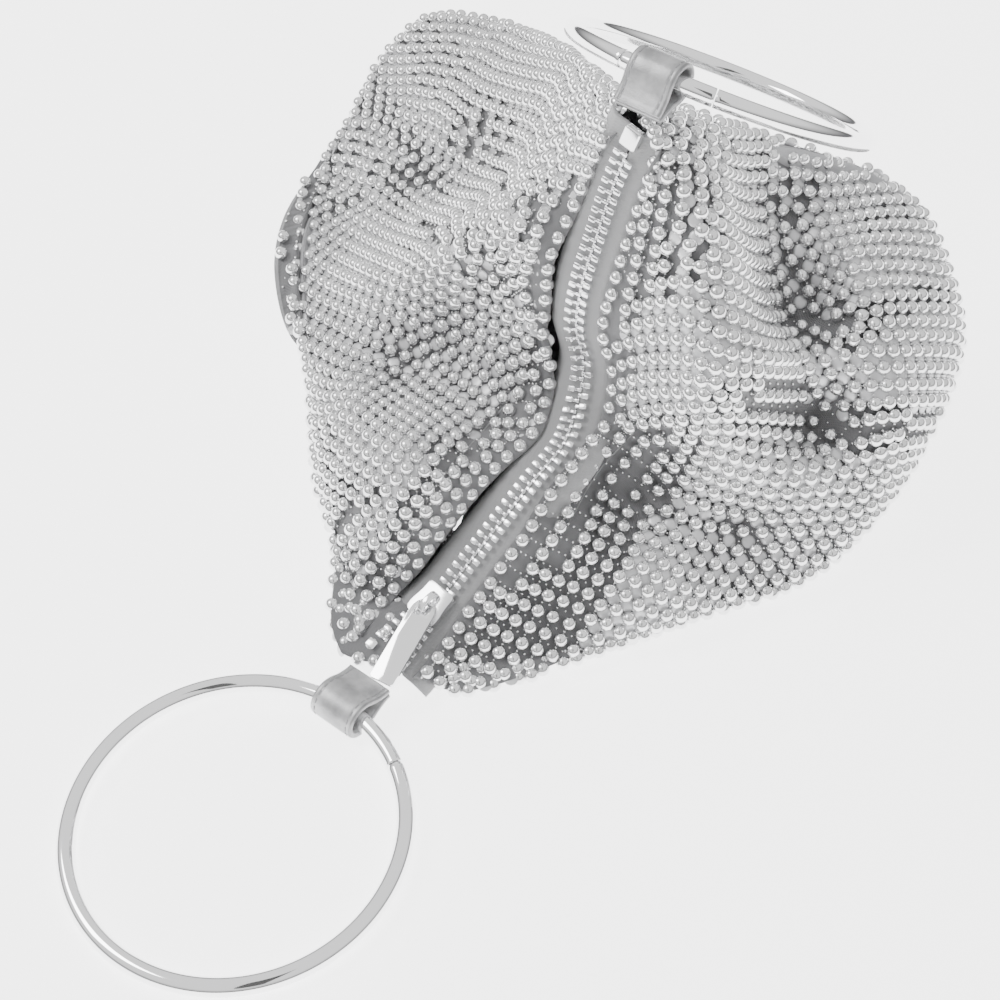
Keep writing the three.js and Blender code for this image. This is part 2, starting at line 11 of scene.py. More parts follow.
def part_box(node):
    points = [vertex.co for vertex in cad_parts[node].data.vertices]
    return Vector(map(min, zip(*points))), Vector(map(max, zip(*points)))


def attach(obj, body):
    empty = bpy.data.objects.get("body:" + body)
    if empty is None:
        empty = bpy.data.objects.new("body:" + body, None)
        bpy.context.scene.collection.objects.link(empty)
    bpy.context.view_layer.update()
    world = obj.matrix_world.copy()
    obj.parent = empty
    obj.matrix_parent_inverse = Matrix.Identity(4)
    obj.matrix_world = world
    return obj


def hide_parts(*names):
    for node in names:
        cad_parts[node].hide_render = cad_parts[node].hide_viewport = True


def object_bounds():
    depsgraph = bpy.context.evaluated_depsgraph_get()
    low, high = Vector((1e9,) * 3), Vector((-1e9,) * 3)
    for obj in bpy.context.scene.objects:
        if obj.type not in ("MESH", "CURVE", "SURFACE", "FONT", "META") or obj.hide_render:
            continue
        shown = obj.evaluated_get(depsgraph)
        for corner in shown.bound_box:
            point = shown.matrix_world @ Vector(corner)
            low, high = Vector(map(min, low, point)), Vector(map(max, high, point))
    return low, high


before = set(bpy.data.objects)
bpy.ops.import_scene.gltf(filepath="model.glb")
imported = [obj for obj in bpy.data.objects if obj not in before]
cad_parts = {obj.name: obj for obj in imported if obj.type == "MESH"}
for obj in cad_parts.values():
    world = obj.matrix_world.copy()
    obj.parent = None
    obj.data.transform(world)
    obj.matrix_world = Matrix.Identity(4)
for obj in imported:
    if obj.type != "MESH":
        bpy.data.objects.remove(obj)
cad_low, cad_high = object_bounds()
rng = np.random.default_rng(7)
MM = 0.001

# ---- driving dimensions, the same as the CAD source's, in millimetres ----
WIRE_R = 2.2
RING_R = 37.8
JOINT_FROM, JOINT_TO = -8.0, 27.0
SEAM_GAP_DEG = 0.35
LOOP_WIDTH = 12.5
LOOP_EYE_R = 3.5
LEATHER = 1.5
LOOP_TAIL = 9.4
TAPE_DEPTH = 2.8
PANEL_EDGE = 7.1
TOOTH_PITCH = 2.4
SLIDER_AT = 0.122
OPEN_SPREAD = 3.3
PANEL_FROM, PANEL_SPAN = 0.03, 0.915
LEAST_DEPTH = 5.0
FRONT_EYE = np.array([-115.8, -6.0, LOOP_EYE_R + LEATHER])
REAR_EYE = np.array([1.4, -5.5, 115.2])
ENDS = {
    "front": {"eye": FRONT_EYE, "loop_pitch": 0.0, "ring_pitch": 2.12, "flip": 1, "aside": -1.4},
    "rear": {"eye": REAR_EYE, "loop_pitch": 150.0, "ring_pitch": 33.0, "flip": -1, "aside": 2.2},
}

# ---- the balls' lattice ----
PITCH = 4.25
BALL_R = 1.8
FIRST_ROW = 1.35  # first row of balls, from the panel's edge
CLOTH_DEPTH = 2.9  # backing cloth, below the crown of the balls

# The lattice is worked out in the CAD source's own frame, then moved by this much.
loop_low = Vector(FRONT_EYE) - Vector((LOOP_EYE_R + LEATHER, LOOP_WIDTH / 2, LOOP_EYE_R + LEATHER))
SHIFT = np.array(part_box("leather_loop_front")[0]) / MM - np.array(loop_low)

# ---- the bag's shape: points are [across, up the slope, above the plane] ----
LEAN, TURN = math.radians(41), math.radians(-52)
LEAN_ORIGIN = np.array([-7.0, 1.0, 45.0])
ACROSS = np.array([math.cos(TURN), math.sin(TURN), 0])
BACKWARD = np.array([-math.sin(TURN), math.cos(TURN), 0])
UP = np.array([0, 0, 1.0])
UPSLOPE = math.cos(LEAN) * BACKWARD + math.sin(LEAN) * UP
ABOVE = -math.sin(LEAN) * BACKWARD + math.cos(LEAN) * UP
PLANE_SCALE = 90.0

OUTLINE = [
    [94, -3, -7], [91, 15, -9], [84, 30, -9], [70, 39, -6], [46, 44, 8], [22, 48, 21], [6, 52, 23],
    [-10, 80, -34], [-25, 94, -65], [-46, 100, -80], [-60, 90, -83], [-69, 70, -73], [-77, 53, -66],
    [-84, 29, -49], [-83, 8, -38], [-77, -14, -21], [-73, -41, -4], [-67, -60, 6], [-66, -78, 16],
    [-57, -90, 24], [-39, -93, 26], [-25, -91, 23], [-1, -84, 17], [23, -76, 12], [53, -66, 5],
    [74, -46, 1], [90, -18, -4],
]
ZIP_LINE = [
    [-54, -84, 25], [-41, -70, 21], [-29, -55, 22], [-18, -41, 22], [-10, -31, 20], [-7, -22, 17],
    [-6, -14, 18], [-8, -6, 22], [-7, 4, 29], [-4, 14, 35], [0, 26, 42], [5, 37, 52],
]
LEFT_RELIEF = [
    [-14, 48, 2], [-25, 46, -22], [-41, 39, -37], [-52, 36, -40], [-69, 25, -42],
    [-20, 14, 33], [-36, 15, 14], [-50, 16, -7], [-64, 13, -23], [-11, 28, 33], [-23, 24, 25],
    [-30, 8, 11], [-16, -3, 20], [-30, 75, -45], [-20, 63, -19], [-53, 64, -57], [-39, 60, -40],
    [-64, 49, -55], [-70, 2, -27], [-52, -13, -10], [-37, -14, -3], [-25, -22, 6], [-14, -29, 14],
    [-63, -21, 4], [-49, -29, 20], [-37, -34, 26], [-25, -41, 26], [-58, -39, 19], [-56, -60, 19],
    [-48, -60, 24], [-41, -55, 28], [-61, -73, 17],
]
RIGHT_RELIEF = [
    [17, 36, 48], [23, 22, 51], [29, 7, 48], [40, -14, 40], [49, -39, 24], [55, -58, 9],
    [19, -2, 51], [10, 20, 52], [9, -1, 42], [19, -23, 46], [7, -20, 30], [-1, -22, 18],
    [35, -30, 32], [31, -41, 26], [0, -33, 16], [10, -46, 14], [33, -53, 13],
    [-11, -55, 24], [8, -60, 24], [-11, -74, 22], [22, -67, 20], [-30, -78, 25], [-25, -67, 25],
    [40, -61, 12], [39, 26, 16], [45, 12, 12], [47, -2, 14], [52, -27, 16],
    [58, 14, 19], [70, 22, 8], [57, -6, 25], [68, -6, 25], [79, 3, 12], [64, -27, 25], [64, -46, 14],
]
REAR_RELIEF = [
    [22, 39, -1], [20, 32, -35], [18, 22, -60], [52, 28, -15], [48, 8, -42], [74, 12, -22],
    [-4, 58, -65], [-6, 42, -92], [-28, 76, -92], [-38, 58, -101],
    [-58, 20, -70], [-60, -20, -36], [5, -12, -62], [-25, -20, -54], [-50, -60, 2], [-20, -70, 6],
    [20, -50, -16], [-40, 20, -84], [0, 15, -84], [30, -20, -50], [55, -25, -40],
]


def unit(v):
    return v / np.maximum(np.linalg.norm(v, axis=-1, keepdims=True), 1e-12)


def catmull(points, closed, steps):
    """A centripetal Catmull-Rom curve through the points, with this many steps a span."""
    p = np.array(points, float)
    if closed:
        p = np.vstack([p[-1:], p, p[:2]])
    else:
        p = np.vstack([2 * p[0] - p[1], p, 2 * p[-1] - p[-2]])
    out = []
    t = np.arange(steps)[:, None] / steps
    for a, b, c, d in zip(p[:-3], p[1:-2], p[2:-1], p[3:]):
        d0, d1, d2 = (np.linalg.norm(q - r) ** 0.5 for q, r in ((b, a), (c, b), (d, c)))
        t1 = ((b - a) / d0 - (c - a) / (d0 + d1) + (c - b) / d1) * d1
        t2 = ((c - b) / d1 - (d - b) / (d1 + d2) + (d - c) / d2) * d1
        out.append(b + t1 * t + (-3 * b + 3 * c - 2 * t1 - t2) * t**2 + (2 * b - 2 * c + t1 + t2) * t**3)
    if not closed:
        out.append(p[-2:-1])
    return np.vstack(out)


def thin_plate(points, heights):
    """The smoothest height over the plane that passes through all the points."""
    flat = np.array(points, float)[:, :2] / PLANE_SCALE
    n = len(flat)

    def bend(a, b):
        d2 = ((a[:, None] - b[None]) ** 2).sum(-1)
        return 0.5 * d2 * np.log(np.maximum(d2, 1e-30))

    ones = np.hstack([np.ones((n, 1)), flat])
    matrix = np.block([[bend(flat, flat), ones], [ones.T, np.zeros((3, 3))]])
    w = np.linalg.solve(matrix, np.concatenate([heights, np.zeros(3)]))

    def height(x, y):
        q = np.stack([np.ravel(x), np.ravel(y)], -1) / PLANE_SCALE
        return (bend(q, flat) @ w[:n] + w[n] + q @ w[n + 1 :]).reshape(np.shape(x))

    return height


outline_curve = catmull(np.array(OUTLINE, float)[:, :2], True, 30)
outline_angles = np.arctan2(outline_curve[:, 1], outline_curve[:, 0])
outline_order = np.argsort(outline_angles)
outline_radii = np.linalg.norm(outline_curve, axis=1)[outline_order]
outline_angles = outline_angles[outline_order]


def outline_radius(angle):
    return np.interp(angle, outline_angles, outline_radii, period=2 * math.pi)


def share_out(x, y):
    return np.hypot(x, y) / outline_radius(np.arctan2(y, x))


middle_sheet = thin_plate(OUTLINE, np.array(OUTLINE, float)[:, 2])


def relief(points):
    p = np.array(points, float)
    rounding = np.sqrt(np.maximum(0.04, 1 - share_out(p[:, 0], p[:, 1]) ** 2))
    return thin_plate(points, (p[:, 2] - middle_sheet(p[:, 0], p[:, 1])) / rounding)


front_relief = relief(ZIP_LINE + LEFT_RELIEF + RIGHT_RELIEF)
rear_relief = relief(REAR_RELIEF)


def from_lean(x, y, h):
    x, y, h = (np.asarray(v, float)[..., None] for v in (x, y, h))
    return LEAN_ORIGIN + ACROSS * x + UPSLOPE * y + ABOVE * h


def skin(disc, front):
    """Points of the bag's skin at places in the outline scaled to a unit circle."""
    disc = np.asarray(disc, float)
    share = np.minimum(1, np.linalg.norm(disc, axis=-1))
    angle = np.arctan2(disc[..., 1], disc[..., 0])
    radius = outline_radius(angle) * share
    x, y = radius * np.cos(angle), radius * np.sin(angle)
    swell = front_relief(x, y) if front else np.minimum(-LEAST_DEPTH, rear_relief(x, y))
    h = middle_sheet(x, y) + np.sqrt(np.maximum(0, 1 - share**2)) * swell
    floor = (0 - LEAN_ORIGIN[2] - y * UPSLOPE[2]) / ABOVE[2]
    return from_lean(x, y, np.maximum(h, floor))


def plane_of(point):
    d = point - LEAN_ORIGIN
    return d @ ACROSS, d @ UPSLOPE


def disc_of(point):
    x, y = plane_of(point)
    share, angle = share_out(x, y), np.arctan2(y, x)
    return np.stack([share * np.cos(angle), share * np.sin(angle)], -1)


# ---- the zip's line ----
zip_points = catmull(from_lean(*np.array(ZIP_LINE, float).T), False, 60)
zip_steps = np.concatenate([[0], np.cumsum(np.linalg.norm(np.diff(zip_points, axis=0), axis=1))])
ZIP_LENGTH = zip_steps[-1]


def zip_frame(share):
    """Along, left, out and place of the tape at shares of the zip's length."""
    share = np.asarray(share, float)
    s = share * ZIP_LENGTH

    def at(v):
        return np.stack([np.interp(v, zip_steps, zip_points[:, k]) for k in range(3)], -1)

    step = 0.6
    along = unit(at(s + step) - at(s - step))
    over = np.maximum(s - ZIP_LENGTH, 0) + np.minimum(s, 0)
    place = at(s) + along * over[..., None]
    out = unit(np.cross(along, [0, 1, 0]))
    left = unit(np.cross(out, along))
    return along, left, out, place - TAPE_DEPTH * out


def opening(share):
    return OPEN_SPREAD * np.clip((SLIDER_AT + 0.03 - share) / SLIDER_AT, 0, 1)


# ---- mesh helpers ----
def new_mesh(name, points, faces, body, materials, smooth=True, replaces=()):
    """An object from points in the CAD source's frame, in millimetres, and faces of one size."""
    mesh = bpy.data.meshes.new(name)
    faces = np.asarray(faces, np.int32)
    size = faces.shape[1]
    points = (np.asarray(points, float) + SHIFT) * MM
    a, b, c = (points[faces[:, k]] - points.mean(0) for k in (0, 1, size - 1))
    d = points[faces[:, size - 2]] - points.mean(0)
    volume = (a * np.cross(b, d)).sum() + ((a * np.cross(d, c)).sum() if size == 4 else 0)
    if size == 3:
        volume = (a * np.cross(b, c)).sum()
    if volume < 0:
        faces = faces[:, ::-1]
    mesh.vertices.add(len(points))
    mesh.vertices.foreach_set("co", points.astype(np.float32).ravel())
    mesh.loops.add(faces.size)
    mesh.loops.foreach_set("vertex_index", faces.ravel())
    mesh.polygons.add(len(faces))
    mesh.polygons.foreach_set("loop_start", np.arange(0, faces.size, size, dtype=np.int32))
    mesh.polygons.foreach_set("use_smooth", np.full(len(faces), smooth))
    mesh.update(calc_edges=True)
    mesh.validate()
    for m in materials:
        mesh.materials.append(m)
    piece = bpy.data.objects.new(name, mesh)
    bpy.context.scene.collection.objects.link(piece)
    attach(piece, body)
    if replaces:
        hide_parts(*replaces)
    return piece


def scatter(template, places, axes):
    """Copies of a template's points at each place, turned by each set of three axes (rows)."""
    points, faces = template
    all_points = places[:, None] + np.einsum("pk,nkc->npc", points, axes)
    all_faces = faces[None] + (np.arange(len(places)) * len(points))[:, None, None]
    return all_points.reshape(-1, 3), all_faces.reshape(-1, faces.shape[1])


def cube_sphere(radius, cuts):
    """A sphere of quads from a cube's faces."""
    t = np.tan(np.linspace(-math.pi / 4, math.pi / 4, cuts + 1))
    points, faces = [], []
    for axis in range(3):
        for sign in (1, -1):
            start = len(points)
            for a in t:
                for b in t:
                    v = np.zeros(3)
                    v[axis], v[(axis + 1) % 3], v[(axis + 2) % 3] = sign, a, b * sign
                    points.append(v)
            for i in range(cuts):
                for j in range(cuts):
                    k = start + i * (cuts + 1) + j
                    faces.append([k, k + cuts + 1, k + cuts + 2, k + 1])
    points = unit(np.array(points))
    _, first, inverse = np.unique(points.round(6), axis=0, return_index=True, return_inverse=True)
    return points[first] * radius, inverse.reshape(-1)[np.array(faces)]


def turned(profile, sides):
    """A closed solid of triangles turned from a profile of [radius, height], from bottom to top."""
    angles = np.arange(sides) * 2 * math.pi / sides
    ring = np.stack([np.cos(angles), np.sin(angles)], -1)
    points = [np.array([[0, 0, profile[0][1]]])]
    points += [np.hstack([ring * r, np.full((sides, 1), h)]) for r, h in profile]
    points.append(np.array([[0, 0, profile[-1][1]]]))
    faces, last = [], 1 + sides * len(profile)
    for j in range(sides):
        k = (j + 1) % sides
        faces.append([0, 1 + k, 1 + j])
        for i in range(len(profile) - 1):
            a, b = 1 + i * sides + j, 1 + i * sides + k
            faces += [[a, b, a + sides], [b, b + sides, a + sides]]
        top = 1 + (len(profile) - 1) * sides
        faces.append([top + j, top + k, last])
    return np.vstack(points), np.array(faces)


def closed_sheet(outer, inner):
    """A closed sheet of quads from two grids of points."""
    rows, cols = outer.shape[:2]
    ids = np.arange(rows * cols).reshape(rows, cols)
    low = ids + rows * cols

    def quads(a, b, c, d):
        return np.stack([a.ravel(), b.ravel(), c.ravel(), d.ravel()], -1)

    faces = [
        quads(ids[:-1, :-1], ids[1:, :-1], ids[1:, 1:], ids[:-1, 1:]),
        quads(low[:-1, :-1], low[:-1, 1:], low[1:, 1:], low[1:, :-1]),
        quads(ids[:-1, 0], low[:-1, 0], low[1:, 0], ids[1:, 0]),
        quads(ids[:-1, -1], ids[1:, -1], low[1:, -1], low[:-1, -1]),
        quads(ids[0, :-1], ids[0, 1:], low[0, 1:], low[0, :-1]),
        quads(ids[-1, :-1], low[-1, :-1], low[-1, 1:], ids[-1, 1:]),
    ]
    return np.vstack([outer.reshape(-1, 3), inner.reshape(-1, 3)]), np.vstack(faces)


def tube(sections):
    """A closed solid of quads from rings of points, with the two ends drawn in to a point."""
    rings = np.asarray(sections)
    count, sides = rings.shape[:2]
    ids = np.arange(count * sides).reshape(count, sides)
    nxt = np.roll(ids, -1, axis=1)
    faces = np.stack([ids[:-1], nxt[:-1], nxt[1:], ids[1:]], -1).reshape(-1, 4)
    points = [rings.reshape(-1, 3), rings[0].mean(0)[None], rings[-1].mean(0)[None]]
    first, last = count * sides, count * sides + 1
    caps = []
    for j in range(0, sides, 2):
        a, b, c = j, (j + 1) % sides, (j + 2) % sides
        caps.append([ids[0, c], ids[0, b], ids[0, a], first])
        caps.append([ids[-1, a], ids[-1, b], ids[-1, c], last])
    return np.vstack(points), np.vstack([faces, caps])


# ---- materials ----
def principled(name, color, metallic, roughness, **extra):
    """A Principled material; returns it with its node tree's parts for the functions that add detail."""
    m = bpy.data.materials.new(name)
    m.use_nodes = True
    shader = m.node_tree.nodes["Principled BSDF"]
    shader.inputs["Base Color"].default_value = (*color, 1)
    shader.inputs["Metallic"].default_value = metallic
    shader.inputs["Roughness"].default_value = roughness
    for key, value in extra.items():
        shader.inputs[key.replace("_", " ")].default_value = value
    return m, m.node_tree.nodes, m.node_tree.links, shader


def texture_point(nodes, source="Object"):
    return nodes.new("ShaderNodeTexCoord").outputs[source]


def add_bump(nodes, links, shader, height, strength, distance):
    bump = nodes.new("ShaderNodeBump")
    bump.inputs["Strength"].default_value = strength
    bump.inputs["Distance"].default_value = distance
    links.new(height, bump.inputs["Height"])
    links.new(bump.outputs["Normal"], shader.inputs["Normal"])


def add_noise(nodes, links, point, scale, detail=4.0):
    noise = nodes.new("ShaderNodeTexNoise")
    noise.inputs["Scale"].default_value = scale
    noise.inputs["Detail"].default_value = detail
    links.new(point, noise.inputs["Vector"])
    return noise.outputs["Fac"]


def ramp_between(nodes, links, factor, low, high, start=0.3, end=0.7):
    ramp = nodes.new("ShaderNodeValToRGB")
    ramp.color_ramp.elements[0].position, ramp.color_ramp.elements[1].position = start, end
    ramp.color_ramp.elements[0].color = (*low, 1)
    ramp.color_ramp.elements[1].color = (*high, 1)
    links.new(factor, ramp.inputs["Fac"])
    return ramp.outputs["Color"]


def map_range(nodes, links, factor, low, high):
    node = nodes.new("ShaderNodeMapRange")
    node.inputs["To Min"].default_value = low
    node.inputs["To Max"].default_value = high
    links.new(factor, node.inputs["Value"])
    return node.outputs["Result"]


def polished_metal(name, color, roughness, smear):
    """Bright metal whose polish varies a little with fine handling marks."""
    m, nodes, links, shader = principled(name, color, 1.0, roughness)
    smears = add_noise(nodes, links, texture_point(nodes), 260)
    polish = map_range(nodes, links, smears, roughness - smear, roughness + smear)
    links.new(polish, shader.inputs["Roughness"])
    return m


def ball_metal(name, grey, roughness):
    return principled(name, (grey, grey, grey * 1.004), 1.0, roughness)[0]


def woven(name, low, high, threads_per_mm, strength):
    """Plain woven cloth: two crossed thread waves with a fine fibre noise, by the mesh's own UV in mm."""
    m, nodes, links, shader = principled(name, low, 0.0, 0.8, Sheen_Weight=0.25, Sheen_Roughness=0.5)
    point = texture_point(nodes, "UV")
    waves = []
    for direction in ("X", "Y"):
        wave = nodes.new("ShaderNodeTexWave")
        wave.bands_direction = direction
        wave.inputs["Scale"].default_value = threads_per_mm / 3.18
        wave.inputs["Distortion"].default_value = 0.6
        wave.inputs["Detail"].default_value = 1.0
        links.new(point, wave.inputs["Vector"])
        waves.append(wave.outputs["Fac"])
    both = nodes.new("ShaderNodeMath")
    both.operation = "MAXIMUM"
    links.new(waves[0], both.inputs[0])
    links.new(waves[1], both.inputs[1])
    links.new(ramp_between(nodes, links, both.outputs[0], low, high, 0.1, 0.9), shader.inputs["Base Color"])
    add_bump(nodes, links, shader, both.outputs[0], strength, 0.0002)
    return m


def herringbone(name, low, high):
    """Zip tape: fine ribs that lean one way and then the other in lengthwise bands."""
    m, nodes, links, shader = principled(name, low, 0.0, 0.72, Sheen_Weight=0.3, Sheen_Roughness=0.4)
    point = texture_point(nodes, "UV")
    split = nodes.new("ShaderNodeSeparateXYZ")
    links.new(point, split.inputs[0])
    zigzag = nodes.new("ShaderNodeMath")
    zigzag.operation = "PINGPONG"
    zigzag.inputs[1].default_value = 0.85
    links.new(split.outputs["Y"], zigzag.inputs[0])
    lean = nodes.new("ShaderNodeMath")
    lean.operation = "ADD"
    links.new(split.outputs["X"], lean.inputs[0])
    links.new(zigzag.outputs[0], lean.inputs[1])
    turns = nodes.new("ShaderNodeMath")
    turns.operation = "MULTIPLY"
    turns.inputs[1].default_value = 2 * math.pi / 0.42
    links.new(lean.outputs[0], turns.inputs[0])
    rib = nodes.new("ShaderNodeMath")
    rib.operation = "SINE"
    links.new(turns.outputs[0], rib.inputs[0])
    share = map_range(nodes, links, rib.outputs[0], 0.0, 1.0)
    share.node.inputs["From Min"].default_value = -1.0
    links.new(ramp_between(nodes, links, share, low, high, 0.0, 1.0), shader.inputs["Base Color"])
    add_bump(nodes, links, shader, share, 0.6, 0.00018)
    return m


def leather(name, low, high):
    """Metallic leather: a mottled foil over a fine pebbled grain."""
    m, nodes, links, shader = principled(name, low, 0.55, 0.4)
    point = texture_point(nodes)
    mottle = add_noise(nodes, links, point, 190, 6)
    links.new(ramp_between(nodes, links, mottle, low, high, 0.35, 0.68), shader.inputs["Base Color"])
    links.new(map_range(nodes, links, mottle, 0.33, 0.5), shader.inputs["Roughness"])
    grain = nodes.new("ShaderNodeTexVoronoi")
    grain.inputs["Scale"].default_value = 2400
    links.new(point, grain.inputs["Vector"])
    add_bump(nodes, links, shader, grain.outputs["Distance"], 0.25, 0.0001)
    return m


BALL_METALS = [ball_metal("ball_silver_a", 0.80, 0.13), ball_metal("ball_silver_b", 0.74, 0.17),
               ball_metal("ball_silver_c", 0.86, 0.10)]
DISC_SATIN = [principled("disc_satin_a", (0.72, 0.72, 0.73), 0.55, 0.42)[0],
              principled("disc_satin_b", (0.62, 0.62, 0.63), 0.55, 0.48)[0]]
PRONG_METAL = principled("prong_metal", (0.95, 0.95, 0.95), 1.0, 0.2)[0]
BACKING = woven("backing_cloth", (0.10, 0.10, 0.105), (0.22, 0.22, 0.225), 2.6, 0.5)
LINING = woven("lining_cloth", (0.30, 0.30, 0.31), (0.46, 0.46, 0.47), 3.2, 0.3)
TAPE = herringbone("zip_tape_weave", (0.24, 0.24, 0.245), (0.46, 0.46, 0.465))
ZIP_METAL = polished_metal("zip_nickel", (0.90, 0.90, 0.91), 0.16, 0.05)
RING_METAL = polished_metal("ring_chrome", (0.95, 0.95, 0.955), 0.06, 0.025)
LEATHER_FOIL = leather("pewter_leather", (0.30, 0.30, 0.305), (0.55, 0.55, 0.555))
LEATHER_EDGE = leather("painted_edge", (0.22, 0.22, 0.225), (0.34, 0.34, 0.345))
THREAD = woven("loop_thread", (0.30, 0.30, 0.31), (0.5, 0.5, 0.5), 6.0, 0.4)


# ---- each panel's surface as a grid, from the zip over the rim to the base seam ----
CORNERS = {1: (math.atan2(-84, -61), math.atan2(53, 5) - 2 * math.pi),
           -1: (math.atan2(-93, -36), math.atan2(53, 6))}
SEAM_N, SEAM_F = np.array([-0.43, -0.81]), np.array([0.11, 0.975])
SEAM_GAP = 0.008  # half the gap at the base seam, as a share of the outline
END_OVERRUN = 0.012  # how far a panel runs past its span at each end of the zip
ROOM_SHRINK = 0.94  # the room at the rim is measured this far in


def panel_grid(side, rows, front_cols, rear_cols, edge):
    """Skin points of one panel: rows from N to F, columns from the zip over the outline to the base seam."""
    t = np.linspace(0, 1, rows)
    share = PANEL_FROM - END_OVERRUN + (PANEL_SPAN + 2 * END_OVERRUN) * t
    _, left, out, place = zip_frame(share)
    start_point = place + left * (side * (edge + opening(share)))[:, None] + out * TAPE_DEPTH
    start = disc_of(start_point)
    at_n, at_f = CORNERS[side]
    angle = at_n + (at_f - at_n) * (0.01 + 0.98 * t)
    rim = np.stack([np.cos(angle), np.sin(angle)], -1)
    seam = SEAM_N + (SEAM_F - SEAM_N) * t[:, None] - np.array([SEAM_GAP * side, 0])
    lift = start_point - skin(start, True)
    way = np.linspace(0, 1, front_cols)
    disc = start[:, None] + (rim - start)[:, None] * np.sin(way * math.pi / 2)[None, :, None]
    front = skin(disc, True) + lift[:, None] * (np.maximum(0, 1 - 3 * way) ** 2)[None, :, None]
    under = 1 - np.cos(np.linspace(0, 1, rear_cols)[1:] * math.pi / 2)
    rear_disc = rim[:, None] + (seam - rim)[:, None] * under[None, :, None]
    rear = skin(rear_disc, False)
    inner = np.concatenate([disc, rear_disc], 1) * ROOM_SHRINK
    room = np.linalg.norm(skin(inner, True) - skin(inner, False), axis=-1)
    return np.concatenate([front, rear], 1), room


def grid_normals(grid, side, passes):
    along = np.gradient(grid, axis=0)
    across = np.gradient(grid, axis=1)
    field = unit(np.cross(along, across) * side)
    for _ in range(passes):
        padded = np.pad(field, ((1, 1), (1, 1), (0, 0)), mode="edge")
        field = unit(field + padded[2:, 1:-1] + padded[:-2, 1:-1] + padded[1:-1, 2:] + padded[1:-1, :-2])
    return field


def grid_uv(piece, grid):
    """A UV in millimetres of cloth, so that threads keep their size."""
    rows, cols = grid.shape[:2]
    u = np.zeros((rows, cols))
    v = np.zeros((rows, cols))
    u[1:] = np.cumsum(np.linalg.norm(np.diff(grid, axis=0), axis=-1).mean(1))[:, None]
    v[:, 1:] = np.cumsum(np.linalg.norm(np.diff(grid, axis=1), axis=-1), axis=1)
    flat = np.stack([np.tile(u.ravel(), 2), np.tile(v.ravel(), 2)], -1)
    layer = piece.data.uv_layers.new(name="cloth_mm")
    corner = np.zeros(len(piece.data.loops), np.int32)
    piece.data.loops.foreach_get("vertex_index", corner)
    layer.data.foreach_set("uv", flat[corner].astype(np.float32).ravel())


# ---- the balls' lattice: rows parallel to the zip, stepped over the panel's surface ----
NEAR_CELLS = [(a, b, c) for a in (-1, 0, 1) for b in (-1, 0, 1) for c in (-1, 0, 1)]
BALL_GAP = 0.8 * PITCH  # balls nearer than this to one already placed are left out
DISC_GAP = 0.5 * PITCH  # from a disc to the nearest ball
DISC_SPACING = 0.9 * PITCH
AXIS_STEP = 0.8  # half the stretch of a row that gives a ball its direction
DRESS_PASSES, SHEET_PASSES = 5, 6  # smoothing of the normals
GRID_ROWS, GRID_FRONT, GRID_REAR = 320, 120, 110


class Spaced:
    """Points kept one by one, each only if no point kept before is nearer than the least distance."""

    def __init__(self, least):
        self.least = least
        self.cells = {}

    def cell(self, p):
        return [math.floor(c / self.least) for c in p]

    def free(self, p):
        cx, cy, cz = self.cell(p)
        for a, b, c in NEAR_CELLS:
            for q in self.cells.get((cx + a, cy + b, cz + c), ()):
                if (p[0] - q[0]) ** 2 + (p[1] - q[1]) ** 2 + (p[2] - q[2]) ** 2 < self.least ** 2:
                    return False
        return True

    def keep(self, p):
        self.cells.setdefault(tuple(self.cell(p)), []).append(tuple(p))


def panel_surface(side, rows, front_cols, rear_cols, edge, passes):
    grid, room = panel_grid(side, rows, front_cols, rear_cols, edge)
    normals = grid_normals(grid, side, passes)
    k, j = rows // 2, front_cols // 3
    probe = grid[k, j] - normals[k, j] * 10
    if np.linalg.norm(probe - LEAN_ORIGIN) > np.linalg.norm(grid[k, j] - LEAN_ORIGIN):
        normals = -normals
    return grid, normals, room


def row_curves(grid, normals, room, steps, distance):
    """Each stretch of the row at one distance from the tape, where the panel reaches that far."""
    last = grid.shape[1] - 1
    reached = np.nonzero(steps[:, -1] > distance)[0]
    middle = len(grid) // 2
    for some in np.split(reached, np.nonzero(np.diff(reached) > 1)[0] + 1):
        if len(some) < 3:
            continue
        index = np.clip((steps[some] <= distance).sum(1) - 1, 0, last - 1)
        part = (distance - steps[some, index]) / (steps[some, index + 1] - steps[some, index])
        part = part[:, None]
        points = grid[some, index] * (1 - part) + grid[some, index + 1] * part
        field = unit(normals[some, index] * (1 - part) + normals[some, index + 1] * part)
        arc = np.concatenate([[0], np.cumsum(np.linalg.norm(np.diff(points, axis=0), axis=1))])
        yield points, field, room[some, index][:, None], arc - arc[np.abs(some - middle).argmin()]


def along_row(curve, offset):
    """Places at whole pitches from the row's middle, with axes along the row, across it and out."""
    points, field, room, arc = curve
    marks = np.arange(math.ceil((arc[0] - offset) / PITCH), math.floor((arc[-1] - offset) / PITCH) + 1)
    s = marks * PITCH + offset

    def at(values, v):
        return np.stack([np.interp(v, arc, values[:, k]) for k in range(3)], -1)

    out = unit(at(field, s))
    along = at(points, s + AXIS_STEP) - at(points, s - AXIS_STEP)
    along = unit(along - out * (along * out).sum(-1, keepdims=True))
    return at(points, s), np.stack([along, np.cross(out, along), out], 1), np.interp(s, arc, room[:, 0])


